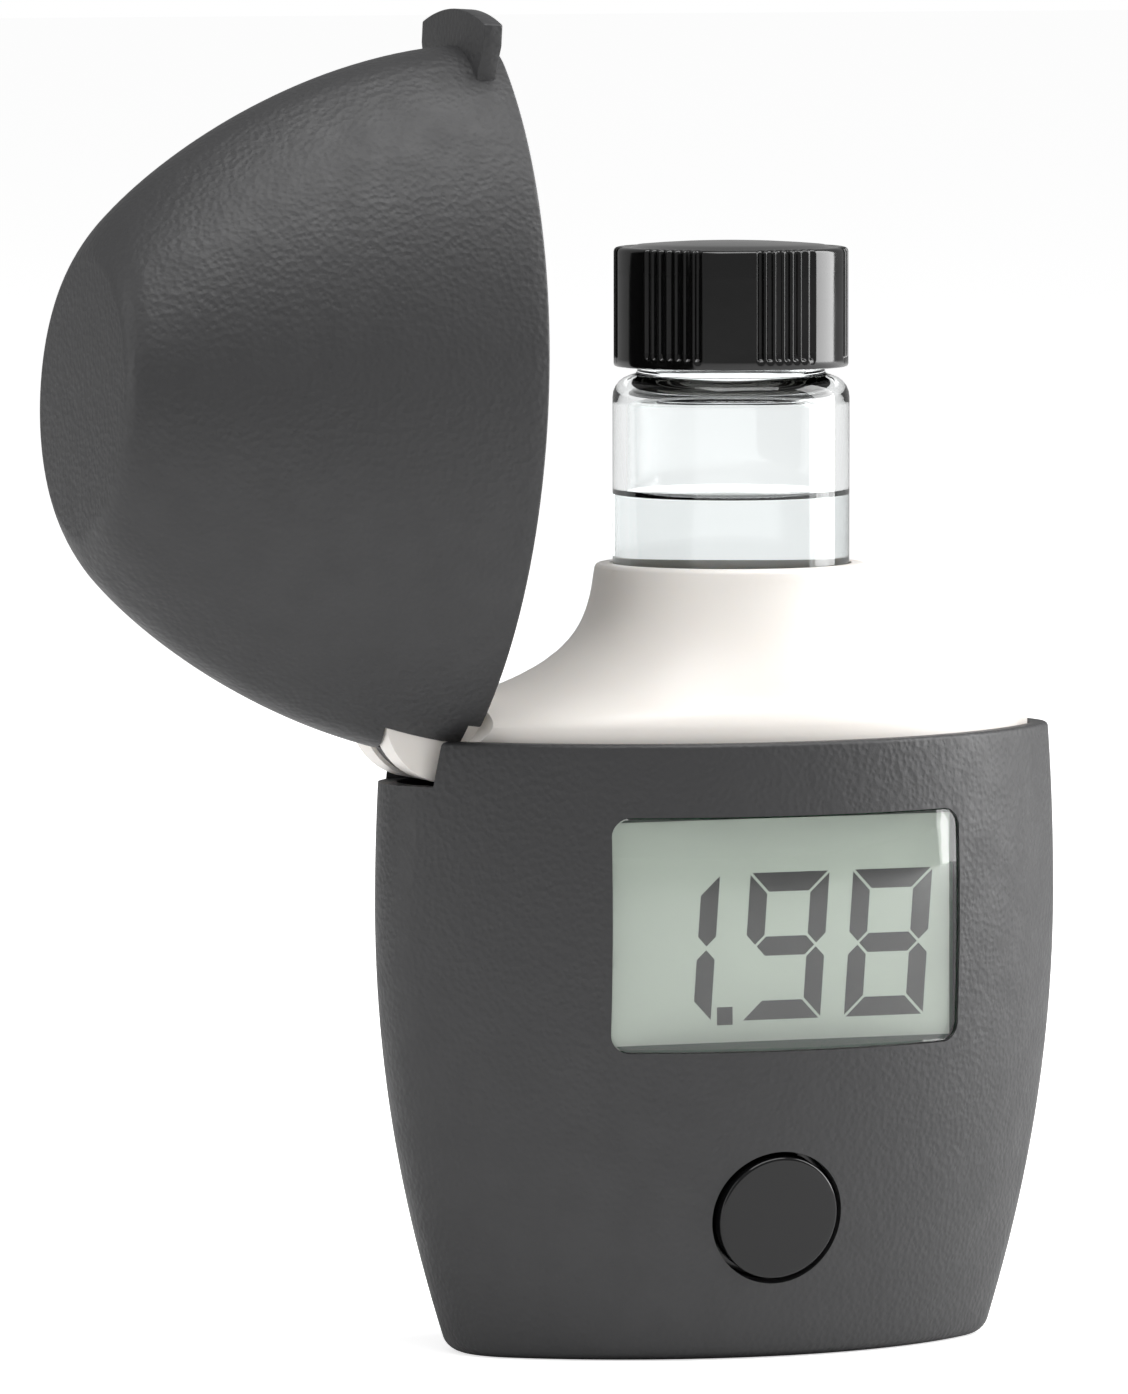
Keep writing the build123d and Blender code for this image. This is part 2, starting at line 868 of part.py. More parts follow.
def rear_pane():
    """The display's rear glass, shorter so that its front glass can be reached."""
    height = display_height - 2 * pane_ledge
    return pane(rear_pane_y(), pane_thickness, display_width, height)


def reflector():
    """The grey film behind the display glass."""
    y0 = rear_pane_y() + pane_thickness + pane_gap
    return pane(y0, reflector_thickness, display_width, display_height - 2 * pane_ledge)


def contact_strips():
    """The two rubber strips that join the display to the board."""
    y0 = display_front_y + pane_thickness + fit_gap
    y1 = board_front_y - fit_gap
    x1 = contact_strip_width / 2
    middle = (display_height - pane_ledge) / 2
    strips = []
    for side in (-1, 1):
        z0 = window_z + side * middle - contact_strip_height / 2
        strips.append(block(-x1, x1, y0, y1, z0, z0 + contact_strip_height))
    return Compound(strips)


def button():
    """The round push button with its retaining lip and stem."""
    dome_radius = (button_radius**2 + button_dome**2) / (2 * button_dome)
    top = -button_proud
    shape = Pos(0, 0, (top + button_skirt) / 2) * Cylinder(button_radius, button_skirt - top)
    ball = Pos(0, 0, top - button_dome + dome_radius) * Sphere(dome_radius)
    shape += ball & (Pos(0, 0, top) * Cylinder(button_radius, 2 * button_dome))
    lip = Pos(0, 0, button_skirt + button_lip_thickness / 2)
    shape += lip * Cylinder(button_lip_radius, button_lip_thickness)
    depth = button_skirt + button_lip_thickness - button_crown
    shape -= Pos(0, 0, button_crown + depth / 2) * Cylinder(button_bore_radius, depth)
    shape = button_place() * shape
    stem_start = front_y(button_z) + button_crown / 2
    stem_end = switch_tip_y() - running_gap
    return shape + along_y(button_stem_radius, stem_start, stem_end, button_x, button_z)


def switch_tip_y():
    """The front of the switch plunger."""
    return board_front_y - switch_height - switch_plunger_reach


def tact_switch():
    """The small switch on the front of the board."""
    half = switch_side / 2
    y1 = board_front_y - fit_gap
    y0 = y1 - switch_height
    body = block(button_x - half, button_x + half, y0, y1, button_z - half, button_z + half)
    bore_radius = switch_plunger_radius + part_gap
    return body - along_y(bore_radius, y0 - overrun, y1 - switch_floor, button_x, button_z)


def switch_plunger():
    """The switch's plunger, which the stem pushes."""
    y0 = switch_tip_y()
    return along_y(switch_plunger_radius, y0, y0 + switch_plunger_length, button_x, button_z)


def battery():
    """The upright cell."""
    can = upright(battery_radius, battery_bottom_z, battery_can_top(), battery_x)
    can = fillet(can.edges(), battery_edge_radius)
    top = battery_bottom_z + battery_length
    nub_start = battery_can_top() - battery_nub_height
    return can + upright(battery_nub_radius, nub_start, top, battery_x)


def plus_contact():
    """The plate over the battery's nub."""
    z0 = battery_bottom_z + battery_length + running_gap / 2
    return upright(contact_radius, z0, z0 + contact_thickness, battery_x)


def minus_contact():
    """The coil that presses on the battery's flat end."""
    z0 = cover_recess + cover_thickness + contact_wire_radius + fit_gap
    z1 = battery_bottom_z - contact_wire_radius - fit_gap
    return coil(contact_coil_radius, contact_wire_radius, z0, z1, contact_turns, battery_x)


def battery_cover():
    """The plate that shuts the battery bay."""
    plate_top = cover_recess + cover_thickness - running_gap
    plate = slot_plate(cover_radius, battery_x, cover_far_x, cover_recess, plate_top)
    plate -= upright(cover_screw_radius + part_gap, 0, cover_screw_top(), cover_screw_x)
    head_roof = cover_recess + cover_screw_head_height
    return plate - upright(cover_screw_head_radius + part_gap, 0, head_roof, cover_screw_x)


def cover_screw_top():
    """Where the hole for the cover screw ends."""
    return cover_recess + cover_screw_head_height + cover_screw_length


def screw_up(x, y, head_z, head_radius, head_height, radius, length):
    """A screw that points up, with a straight drive slot."""
    head_top = head_z + head_height - fit_gap
    head = upright(head_radius, head_z, head_top, x, y)
    half = drive_slot_width / 2
    reach = 2 * head_radius
    head -= block(x - reach, x + reach, y - half, y + half, 0, head_z + drive_slot_depth)
    return head + upright(radius, head_top - head_height / 2, head_top + length - slide_gap, x, y)


def cover_screw():
    """The screw of the battery cover."""
    return screw_up(
        cover_screw_x,
        0,
        cover_recess,
        cover_screw_head_radius,
        cover_screw_head_height,
        cover_screw_radius,
        cover_screw_length,
    )


def base_screws():
    """The two screws that hold the chassis in the housing."""
    screws = []
    for side in (-1, 1):
        screws.append(
            screw_up(
                base_screw_x,
                side * base_screw_y,
                base_screw_recess,
                base_screw_head_radius,
                base_screw_head_height,
                base_screw_radius,
                base_screw_length,
            )
        )
    return Compound(screws)


pieces = {
    "housing": housing,
    "chassis": chassis,
    "lid": lambda: swung_open(closed_lid()),
    "hinge_pin": hinge_pin,
    "vial_glass": vial,
    "sample_liquid": sample_liquid,
    "vial_cap": vial_cap,
    "cap_liner": cap_liner,
    "vial_seat": vial_seat,
    "seat_spring": seat_spring,
    "circuit_board": circuit_board,
    "board_screws": board_screws,
    "microcontroller": microcontroller,
    "board_chips": board_chips,
    "lamp": lamp,
    "optical_filter": optical_filter,
    "photodiode": photodiode,
    "detector_board": detector_board,
    "display_window": display_window,
    "display_front_glass": front_pane,
    "display_rear_glass": rear_pane,
    "display_reflector": reflector,
    "display_contact_strips": contact_strips,
    "button": button,
    "tact_switch": tact_switch,
    "switch_plunger": switch_plunger,
    "battery": battery,
    "battery_plus_contact": plus_contact,
    "battery_minus_contact": minus_contact,
    "battery_cover": battery_cover,
    "battery_cover_screw": cover_screw,
    "base_screws": base_screws,
}

os.makedirs("parts", exist_ok=True)
for name, make in pieces.items():
    export_step(make(), f"parts/{name}.step")
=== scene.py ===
"""Pocket photometer, standing open with its sample vial raised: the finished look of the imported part."""

from math import atan2, cos, pi, radians, sin, sqrt

import bmesh
import bpy
from bpy.props import FloatProperty, FloatVectorProperty, IntProperty, PointerProperty, StringProperty
from mathutils import Matrix, Vector


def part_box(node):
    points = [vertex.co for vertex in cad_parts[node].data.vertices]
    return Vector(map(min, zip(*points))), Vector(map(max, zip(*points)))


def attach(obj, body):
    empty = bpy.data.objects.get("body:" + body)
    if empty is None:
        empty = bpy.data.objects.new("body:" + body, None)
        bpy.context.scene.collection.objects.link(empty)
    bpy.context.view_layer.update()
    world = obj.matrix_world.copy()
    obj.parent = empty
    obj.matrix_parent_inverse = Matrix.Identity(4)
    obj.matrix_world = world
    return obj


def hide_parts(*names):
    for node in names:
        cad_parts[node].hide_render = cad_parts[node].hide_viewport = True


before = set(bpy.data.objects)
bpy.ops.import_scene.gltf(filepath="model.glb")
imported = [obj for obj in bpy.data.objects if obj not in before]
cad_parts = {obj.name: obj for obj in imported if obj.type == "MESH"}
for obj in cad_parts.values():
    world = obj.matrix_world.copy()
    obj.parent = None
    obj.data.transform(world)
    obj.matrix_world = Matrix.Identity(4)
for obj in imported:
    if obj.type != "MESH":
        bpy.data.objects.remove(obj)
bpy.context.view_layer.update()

bl_info = {
    "name": "Pocket Photometer",
    "version": (1, 0, 0),
    "blender": (4, 5, 0),
    "location": "View3D > Sidebar > Photometer",
    "description": "Builds the finished pieces of a pocket photometer over its packed frame",
    "category": "Object",
}

MM = 0.001

# the lens outline is walked in this many steps along each long side and each round tip
SIDE_STEPS = 44
TIP_STEPS = 16


def linear(code):
    """The linear colour of an sRGB hex code."""
    parts = [int(code[i:i + 2], 16) / 255 for i in (1, 3, 5)]
    return [p / 12.92 if p <= 0.04045 else ((p + 0.055) / 1.055) ** 2.4 for p in parts] + [1.0]


# sizes and colours a user may change


class PhotometerCase(bpy.types.PropertyGroup):
    """The dark moulded case."""

    rim_height: FloatProperty(
        name="Rim height", description="Height of the housing's rim", default=0.052, unit="LENGTH")
    wall: FloatProperty(
        name="Wall", description="Thickness of the housing's wall", default=0.0016, unit="LENGTH")
    lid_height: FloatProperty(
        name="Lid height", description="Depth of the lid from its rim to its flat top", default=0.0344,
        unit="LENGTH")
    lid_wall: FloatProperty(
        name="Lid wall", description="Thickness of the lid's wall", default=0.00135, unit="LENGTH")
    open_angle: FloatProperty(
        name="Open angle", description="How far the lid stands open at rest", default=radians(87),
        subtype="ANGLE")
    colour: FloatVectorProperty(
        name="Case colour", description="Colour of the moulded case", size=4, subtype="COLOR",
        default=linear("#333334"))


class PhotometerVial(bpy.types.PropertyGroup):
    """The sample vial and its cap."""

    radius: FloatProperty(
        name="Vial radius", description="Outer radius of the glass", default=0.010, unit="LENGTH")
    bottom: FloatProperty(
        name="Vial bottom", description="Height of the vial's foot", default=0.02905, unit="LENGTH")
    fill_height: FloatProperty(
        name="Fill height", description="Height of the liquid's surface", default=0.07165, unit="LENGTH")
    cap_radius: FloatProperty(
        name="Cap radius", description="Outer radius of the screw cap", default=0.0099, unit="LENGTH")
    flute_groups: IntProperty(
        name="Flute groups", description="Groups of grip flutes round the cap", default=6, min=1)
    flutes: IntProperty(
        name="Flutes in a group", description="Grip flutes in each group", default=7, min=1)


class PhotometerDisplay(bpy.types.PropertyGroup):
    """The display and the button."""

    reading: StringProperty(
        name="Reading", description="The number that the display shows", default="1.98")
    digit_height: FloatProperty(
        name="Digit height", description="Height of a digit", default=0.0123, unit="LENGTH")
    glass_colour: FloatVectorProperty(
        name="Display colour", description="Colour of the display's bright ground", size=4, subtype="COLOR",
        default=linear("#b6c1b5"))


# making meshes, in millimetres


def lens(half_width, half_depth, tip, z, x=0.0):
    """A lens outline at a height: two long arcs joined by two round tips, walked from the front left."""
    offset = half_width - tip
    radius = (offset**2 + half_depth**2 - tip**2) / (2 * (half_depth - tip))
    side = atan2(offset, radius - half_depth)
    turn = pi / 2 - side
    points = []
    for step in range(SIDE_STEPS):
        angle = -side + 2 * side * step / SIDE_STEPS
        points.append((x + radius * sin(angle), radius - half_depth - radius * cos(angle), z))
    for step in range(TIP_STEPS):
        angle = -turn + 2 * turn * step / TIP_STEPS
        points.append((x + offset + tip * cos(angle), tip * sin(angle), z))
    return points + [(2 * x - px, -py, pz) for px, py, pz in points]


def skin(outlines):
    """A skin drawn from outline to outline, each a ring of as many points, and closed at both ends."""
    mesh = bmesh.new()
    place = mesh.verts.layers.int.new("place")
    for number, vert in enumerate(bmesh.ops.create_circle(mesh, segments=len(outlines[0]), radius=1)["verts"]):
        vert[place] = number
        vert.co = outlines[0][number]
    edges = mesh.edges[:]
    bmesh.ops.contextual_create(mesh, geom=edges)
    for outline in outlines[1:]:
        grown = bmesh.ops.extrude_edge_only(mesh, edges=edges)["geom"]
        for vert in grown:
            if isinstance(vert, bmesh.types.BMVert):
                vert.co = outline[vert[place]]
        edges = [edge for edge in grown if isinstance(edge, bmesh.types.BMEdge)]
    bmesh.ops.contextual_create(mesh, geom=edges)
    bmesh.ops.recalc_face_normals(mesh, faces=mesh.faces)
    return mesh


def turned(profile, x=0.0, steps=96):
    """A closed turning: the profile's (radius, height) points spun about an upright axis."""
    mesh = bmesh.new()
    verts = [mesh.verts.new((radius, 0, z)) for radius, z in profile]
    edges = [mesh.edges.new(pair) for pair in zip(verts, verts[1:])]
    bmesh.ops.spin(
        mesh, geom=verts + edges, cent=(0, 0, 0), axis=(0, 0, 1), angle=2 * pi, steps=steps, use_merge=True)
    bmesh.ops.remove_doubles(mesh, verts=mesh.verts, dist=0.001)
    bmesh.ops.recalc_face_normals(mesh, faces=mesh.faces)
    bmesh.ops.translate(mesh, vec=(x, 0, 0), verts=mesh.verts)
    return mesh


def rounded(points, corners):
    """A profile whose numbered corners are rounded to the radii given, in six steps each."""
    made = []
    for number, point in enumerate(points):
        radius = corners.get(number)
        if radius is None:
            made.append(point)
            continue
        here = Vector(point)
        back = (Vector(points[number - 1]) - here).normalized()
        ahead = (Vector(points[(number + 1) % len(points)]) - here).normalized()
        half = back.angle(ahead) / 2
        reach = radius / sin(half)
        centre = here + (back + ahead).normalized() * reach
        start = here + back * (radius * cos(half) / sin(half)) - centre
        end = here + ahead * (radius * cos(half) / sin(half)) - centre
        for step in range(7):
            made.append(tuple(centre + start.slerp(end, step / 6).normalized() * radius))
    return made


def bar(outline, thickness, place=Matrix.Identity(4)):
    """A flat outline made a bar of a thickness along its own Z, then put in its place."""
    mesh = bmesh.new()
    face = mesh.faces.new([mesh.verts.new((x, y, 0)) for x, y in outline])
    grown = bmesh.ops.extrude_face_region(mesh, geom=[face])["geom"]
    raised = [vert for vert in grown if isinstance(vert, bmesh.types.BMVert)]
    bmesh.ops.translate(mesh, vec=(0, 0, thickness), verts=raised)
    bmesh.ops.recalc_face_normals(mesh, faces=mesh.faces)
    bmesh.ops.transform(mesh, matrix=place, verts=mesh.verts)
    return mesh


def rounded_box(width, height, radius, steps=8):
    """A rectangle with round corners, centred."""
    points = []
    for turn, (sx, sy) in enumerate(((1, 1), (-1, 1), (-1, -1), (1, -1))):
        for step in range(steps + 1):
            angle = pi / 2 * (turn + step / steps)
            points.append((
                sx * (width / 2 - radius) + radius * cos(angle),
                sy * (height / 2 - radius) + radius * sin(angle)))
    return points


def circle(radius, steps=96):
    """A circle's points."""
    return [(radius * cos(2 * pi * step / steps), radius * sin(2 * pi * step / steps)) for step in range(steps)]


def joined(*meshes):
    """Several meshes as one, each still a body of its own."""
    whole = bmesh.new()
    for mesh in meshes:
        data = bpy.data.meshes.new("part")
        mesh.to_mesh(data)
        mesh.free()
        whole.from_mesh(data)
        bpy.data.meshes.remove(data)
    return whole


def carved(mesh, *cutters):
    """The mesh with the cutters' shapes taken out of it."""
    made = []
    for shape in (mesh, *cutters):
        data = bpy.data.meshes.new("carving")
        shape.to_mesh(data)
        shape.free()
        made.append(bpy.data.objects.new("carving", data))
        bpy.context.scene.collection.objects.link(made[-1])
    for tool in made[1:]:
        cut = made[0].modifiers.new("cut", "BOOLEAN")
        cut.object = tool
        cut.operation = "DIFFERENCE"
        cut.solver = "EXACT"
    result = bmesh.new()
    result.from_object(made[0], bpy.context.evaluated_depsgraph_get())
    for shape in made:
        data = shape.data
        bpy.data.objects.remove(shape)
        bpy.data.meshes.remove(data)
    return result


def soften(mesh, width, angle):
    """Rounds the mesh's edges that are sharper than an angle in degrees."""
    sharp = [edge for edge in mesh.edges if edge.is_manifold and edge.calc_face_angle(0.0) > radians(angle)]
    bmesh.ops.bevel(
        mesh, geom=sharp, offset=width, offset_type="OFFSET", segments=2, profile=0.5, affect="EDGES",
        clamp_overlap=True, material=-1)
    return mesh


def piece(name, mesh, body, surface, stands_for=(), sharp=40):
    """The finished piece: its object, in metres, on its body, with its surface."""
    bmesh.ops.scale(mesh, vec=(MM, MM, MM), verts=mesh.verts)
    data = bpy.data.meshes.new(name)
    mesh.to_mesh(data)
    mesh.free()
    data.shade_smooth()
    data.set_sharp_from_angle(angle=radians(sharp))
    data.materials.clear()
    data.materials.append(surface)
    made = bpy.data.objects.new(name, data)
    bpy.context.scene.collection.objects.link(made)
    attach(made, body)
    if stands_for:
        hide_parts(*stands_for)
    return made


def dress(node, surface):
    """A CAD node's own finish, with its curved faces shaded smoothly."""
    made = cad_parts[node]
    made.data.materials.clear()
    made.data.materials.append(surface)
    made.data.shade_smooth()
    weld = made.modifiers.new("weld", "WELD")
    weld.merge_threshold = 0.000002
    split = made.modifiers.new("split", "EDGE_SPLIT")
    split.split_angle = radians(32)


# materials


def add(tree, kind, inputs=None, **settings):
    """Adds a node to a material with its settings, values and links."""
    node = tree.nodes.new(kind)
    for name, value in settings.items():
        setattr(node, name, value)
    for name, value in (inputs or {}).items():
        if isinstance(value, bpy.types.NodeSocket):
            tree.links.new(value, node.inputs[name])
        else:
            node.inputs[name].default_value = value
    return node


def surface(name, **values):
    """A material with one Principled shader; returns the material, its nodes and the shader."""
    made = bpy.data.materials.new(name)
    made.use_nodes = True
    tree = made.node_tree
    shader = next(node for node in tree.nodes if node.type == "BSDF_PRINCIPLED")
    for key, value in values.items():
        shader.inputs[key.replace("_", " ")].default_value = value
    return made, tree, shader


def spots(tree, size, detail=2.0):
    """Noise over the object's own place, with its size in millimetres."""
    place = add(tree, "ShaderNodeTexCoord").outputs["Object"]
    return add(tree, "ShaderNodeTexNoise", {"Vector": place, "Scale": 1 / (size * MM), "Detail": detail})


def tinted(tree, shader, colour, size, amount):
    """Lets a colour drift a little lighter and darker over spots of a size in millimetres."""
    drift = add(tree, "ShaderNodeMapRange", {
        "Value": spots(tree, size).outputs["Fac"], "From Min": 0.3, "From Max": 0.7,
        "To Min": 1 - amount, "To Max": 1 + amount})
    shade = add(tree, "ShaderNodeHueSaturation", {"Color": colour, "Value": drift.outputs["Result"]})
    tree.links.new(shade.outputs["Color"], shader.inputs["Base Color"])


def worn(tree, shader, size, low, high):
    """Lets the roughness wander between two values over spots of a size in millimetres."""
    drift = add(tree, "ShaderNodeMapRange", {
        "Value": spots(tree, size, 4.0).outputs["Fac"], "From Min": 0.3, "From Max": 0.7,
        "To Min": low, "To Max": high})
    tree.links.new(drift.outputs["Result"], shader.inputs["Roughness"])


def bumped(tree, shader, height, depth, below=None):
    """Feeds a height pattern into the shader's bump, with its depth in millimetres."""
    inputs = {"Height": height, "Distance": depth * MM, "Strength": 1.0}
    if below is not None:
        inputs["Normal"] = below
    bump = add(tree, "ShaderNodeBump", inputs)
    tree.links.new(bump.outputs["Normal"], shader.inputs["Normal"])
    return bump.outputs["Normal"]


def seen_through_air_or_glass(tree):
    """One for the camera's own rays and those through glass, and zero for the rest."""
    path = add(tree, "ShaderNodeLightPath")
    return add(tree, "ShaderNodeMath", {
        0: path.outputs["Is Camera Ray"], 1: path.outputs["Is Transmission Ray"]},
        operation="MAXIMUM").outputs[0]


def grained_abs(colour):
    """Moulded ABS from a spark eroded tool: matt charcoal with a pebbled grain half a millimetre across."""
    made, tree, shader = surface("moulded_abs_grained_charcoal", Roughness=0.5, IOR=1.5)
    tinted(tree, shader, colour, 14.0, 0.03)
    place = add(tree, "ShaderNodeTexCoord").outputs["Object"]
    warp = add(tree, "ShaderNodeVectorMath", {
        0: place, 1: add(tree, "ShaderNodeVectorMath", {
            0: spots(tree, 1.1).outputs["Color"], "Scale": 0.35 * MM}, operation="SCALE").outputs["Vector"]},
        operation="ADD").outputs["Vector"]
    pebbles = add(tree, "ShaderNodeTexVoronoi", {
        "Vector": warp, "Scale": 1 / (0.52 * MM), "Smoothness": 0.6}, feature="SMOOTH_F1")
    fine = spots(tree, 0.16, 3.0)
    worn(tree, shader, 3.0, 0.46, 0.56)
    under = bumped(tree, shader, pebbles.outputs["Distance"], 0.06)
    bumped(tree, shader, fine.outputs["Fac"], 0.012, below=under)
    return made


def white_abs():
    """Moulded white ABS from a polished tool: warm white, a soft sheen and a little light under its skin."""
    made, tree, shader = surface("moulded_abs_warm_white", IOR=1.5)
    tinted(tree, shader, linear("#f1ece6"), 20.0, 0.012)
    shader.inputs["Subsurface Weight"].default_value = 0.12
    shader.inputs["Subsurface Radius"].default_value = (0.0022, 0.0018, 0.0014)
    shader.inputs["Subsurface Scale"].default_value = 1.0
    worn(tree, shader, 5.0, 0.36, 0.44)
    bumped(tree, shader, spots(tree, 0.9, 3.0).outputs["Fac"], 0.004)
    return made


def borosilicate():
    """Borosilicate glass tube, fire polished, clear with a faint cool tint at its edges."""
    made, tree, shader = surface(
        "borosilicate_glass", Base_Color=linear("#f7f9f9"), Transmission_Weight=1.0, IOR=1.47, Roughness=0.0)
    bumped(tree, shader, spots(tree, 9.0, 1.0).outputs["Fac"], 0.01)
    return made


def sample_water():
    """The clear water sample."""
    made, tree, shader = surface(
        "clear_water_sample", Base_Color=linear("#fbfcfc"), Transmission_Weight=1.0, IOR=1.333, Roughness=0.0)
    bumped(tree, shader, spots(tree, 7.0, 1.0).outputs["Fac"], 0.004)
    return made


def polished_phenolic():
    """Compression moulded phenolic: jet black and glossy, with faint flow marks."""
    made, tree, shader = surface("polished_phenolic_black", IOR=1.55)
    tinted(tree, shader, linear("#0b0b0b"), 6.0, 0.1)
    worn(tree, shader, 4.0, 0.09, 0.15)
    bumped(tree, shader, spots(tree, 2.2, 2.0).outputs["Fac"], 0.004)
    return made


def gloss_button():
    """Moulded glossy ABS of the push button, black with fine swirls from wiping."""
    made, tree, shader = surface("moulded_abs_gloss_black", IOR=1.46)
    tinted(tree, shader, linear("#0d0d0e"), 5.0, 0.08)
    worn(tree, shader, 2.0, 0.1, 0.16)
    bumped(tree, shader, spots(tree, 1.6, 2.0).outputs["Fac"], 0.002)
    return made


def clear_acrylic():
    """Moulded clear acrylic of the display window."""
    made, tree, shader = surface(
        "moulded_clear_acrylic", Base_Color=linear("#fafbfa"), Transmission_Weight=1.0, IOR=1.49,
        Roughness=0.02)
    bumped(tree, shader, spots(tree, 8.0, 1.0).outputs["Fac"], 0.003)
    return made


def display_ground(colour):
    """Liquid crystal display with its reflector behind: a satin grey green with a very fine sparkle."""
    made, tree, shader = surface("display_polariser_satin", IOR=1.5)
    tinted(tree, shader, colour, 6.0, 0.012)
    worn(tree, shader, 1.2, 0.5, 0.6)
    bumped(tree, shader, spots(tree, 0.12, 2.0).outputs["Fac"], 0.0015)
    return made


def display_ink():
    """A switched segment of the display: neutral black, satin under the front film."""
    made, tree, shader = surface("display_segment_black", IOR=1.45)
    tinted(tree, shader, linear("#0a0b0b"), 2.0, 0.1)
    worn(tree, shader, 1.0, 0.5, 0.6)
    return made


def plain(name, code, low, high, spot, drift, depth, **values):
    """A moulded, coated or metal finish with its own spot size in millimetres, drift of tone, and relief."""
    made, tree, shader = surface(name, **values)
    tinted(tree, shader, linear(code), spot, drift)
    worn(tree, shader, spot / 2, low, high)
    bumped(tree, shader, spots(tree, spot / 3, 3.0).outputs["Fac"], depth)
    return made


# the case


WIDEST_Z, WIDEST_X, WIDEST_Y = 37.6, 30.5, 18.75
RIM_X, RIM_Y, RIM_Z, BASE_X, BASE_Y, TIP = 29.94, 17.87, 52.0, 24.0, 13.3, 7.3
LID_TOP_X, LID_TOP_Y, LID_TOP_TIP, LID_LEAN = 12.6, 11.2, 4.5, 0.7
PIVOT = Vector((-25.9, 0, 54.2))
BUTTON_X, BUTTON_Z, BUTTON_HOLE = -1.2, 12.1, 5.75
WINDOW_WIDTH, WINDOW_HEIGHT, WINDOW_CORNER, WINDOW_Z = 31.5, 19.7, 1.6, 36.1
BATTERY_X, COVER_END_X, COVER_RADIUS, COVER_SCREW_X = -16.2, -9.7, 6.4, -6.6
BASE_SCREW_X, BASE_SCREW_Y = 9, 5
VIAL_X = 1.3


def body_size(z, rim):
    """Half the housing's width and half its depth at a height."""
    if z >= WIDEST_Z:
        share = ((z - WIDEST_Z) / (rim - WIDEST_Z))**2
        return WIDEST_X - (WIDEST_X - RIM_X) * share, WIDEST_Y - (WIDEST_Y - RIM_Y) * share
    share = ((WIDEST_Z - z) / WIDEST_Z)**2
    return WIDEST_X - (WIDEST_X - BASE_X) * share, WIDEST_Y - (WIDEST_Y - BASE_Y) * share


def body_ring(z, rim, inset):
    """The housing's outline at a height, set in from its outer face."""
    width, depth = body_size(z, rim)
    return lens(width - inset, depth - inset, TIP - inset, z)


def front_lean():
    """How far the front wall leans back under the button, in radians."""
    return atan2(body_size(BUTTON_Z + 0.5, RIM_Z)[1] - body_size(BUTTON_Z - 0.5, RIM_Z)[1], 1.0)


def button_frame():
    """The button's frame: its Z runs into the housing."""
    place = Matrix.Translation((BUTTON_X, -body_size(BUTTON_Z, RIM_Z)[1], BUTTON_Z))
    return place @ Matrix.Rotation(-pi / 2 + front_lean(), 4, "X")


def eased(low, high, steps):
    """Evenly spaced values from low to high."""
    return [low + (high - low) * step / steps for step in range(steps + 1)]


class PHOTOMETER_OT_housing(bpy.types.Operator):
    """Builds the housing: the dark cup with its window opening, button hole, hinge notch and battery bay"""

    bl_idname = "photometer.housing"
    bl_label = "Build housing"

    def execute(self, context):
        case = context.scene.photometer_case
        rim, wall = case.rim_height / MM, case.wall / MM
        edge, foot, floor = 0.35, 1.2, 3.0
        rings = [body_ring(floor, rim, wall + 1.0), body_ring(floor + 0.3, rim, wall + 0.3)]
        rings += [body_ring(z, rim, wall) for z in eased(floor + 1, rim - 0.3, 20)]
        rings += [body_ring(rim - 0.08, rim, wall - 0.08), body_ring(rim, rim, wall - 0.3)]
        for step in range(6):
            angle = pi / 2 * step / 5
            rings.append(body_ring(rim - edge * (1 - cos(angle)), rim, edge * (1 - sin(angle))))
        rings += [body_ring(z, rim, 0) for z in eased(rim - 1.2, foot, 30)]
        for step in range(1, 7):
            angle = pi / 2 * step / 6
            rings.append(body_ring(foot * (1 - sin(angle)), rim, foot * (1 - cos(angle))))
        shell = skin(rings)
        upright = Matrix.Rotation(pi / 2, 4, "X")
        window = bar(
            rounded_box(WINDOW_WIDTH, WINDOW_HEIGHT, WINDOW_CORNER), 12,
            Matrix.Translation((0, -10, WINDOW_Z)) @ upright)
        button = bar(circle(BUTTON_HOLE), 8, button_frame() @ Matrix.Translation((0, 0, -3)))
        notch = bar(
            [(-5.4, rim - 3.8), (5.4, rim - 3.8), (5.9, rim + 1), (-5.9, rim + 1)], 12,
            Matrix.Translation((-34, 0, 0)) @ Matrix(((0, 0, 1, 0), (1, 0, 0, 0), (0, 1, 0, 0), (0, 0, 0, 1))))
        bay = []
        for sign in (1, -1):
            end = COVER_END_X if sign > 0 else BATTERY_X
            bay += [(end + sign * COVER_RADIUS * sin(angle), -sign * COVER_RADIUS * cos(angle))
                    for angle in eased(0, pi, 24)]
        cover = bar(bay, 2.85, Matrix.Translation((0, 0, -1)))
        well = bar(circle(5.35, 64), 6, Matrix.Translation((BATTERY_X, 0, -1)))
        screw = bar(circle(1.0, 24), 6, Matrix.Translation((COVER_SCREW_X, 0, -1)))
        cutters = [window, button, notch, cover, well, screw]
        for side in (-BASE_SCREW_Y, BASE_SCREW_Y):
            place = Matrix.Translation((BASE_SCREW_X, side, -1))
            cutters += [bar(circle(1.9, 32), 2.4, place), bar(circle(1.0, 24), 6, place)]
        shell = carved(shell, *cutters)
        piece("case_housing", shell, "housing_body", grained_abs(case.colour), ["housing"], sharp=35)
        return {"FINISHED"}


# the lid


def lid_ring(share, height, inset, rim):
    """The shut lid's outline at a share of its height, set in from its outer face."""
    share = min(max(share, 0.0), 1.0)
    width = LID_TOP_X + (RIM_X - LID_TOP_X) * (1 - share**1.75)**0.8
    depth = LID_TOP_Y + (RIM_Y - LID_TOP_Y) * (1 - share**1.6)**0.91
    tip = TIP + (LID_TOP_TIP - TIP) * share
    return lens(width - inset, depth - inset, tip - inset, rim + height * share, -LID_LEAN * share**2)


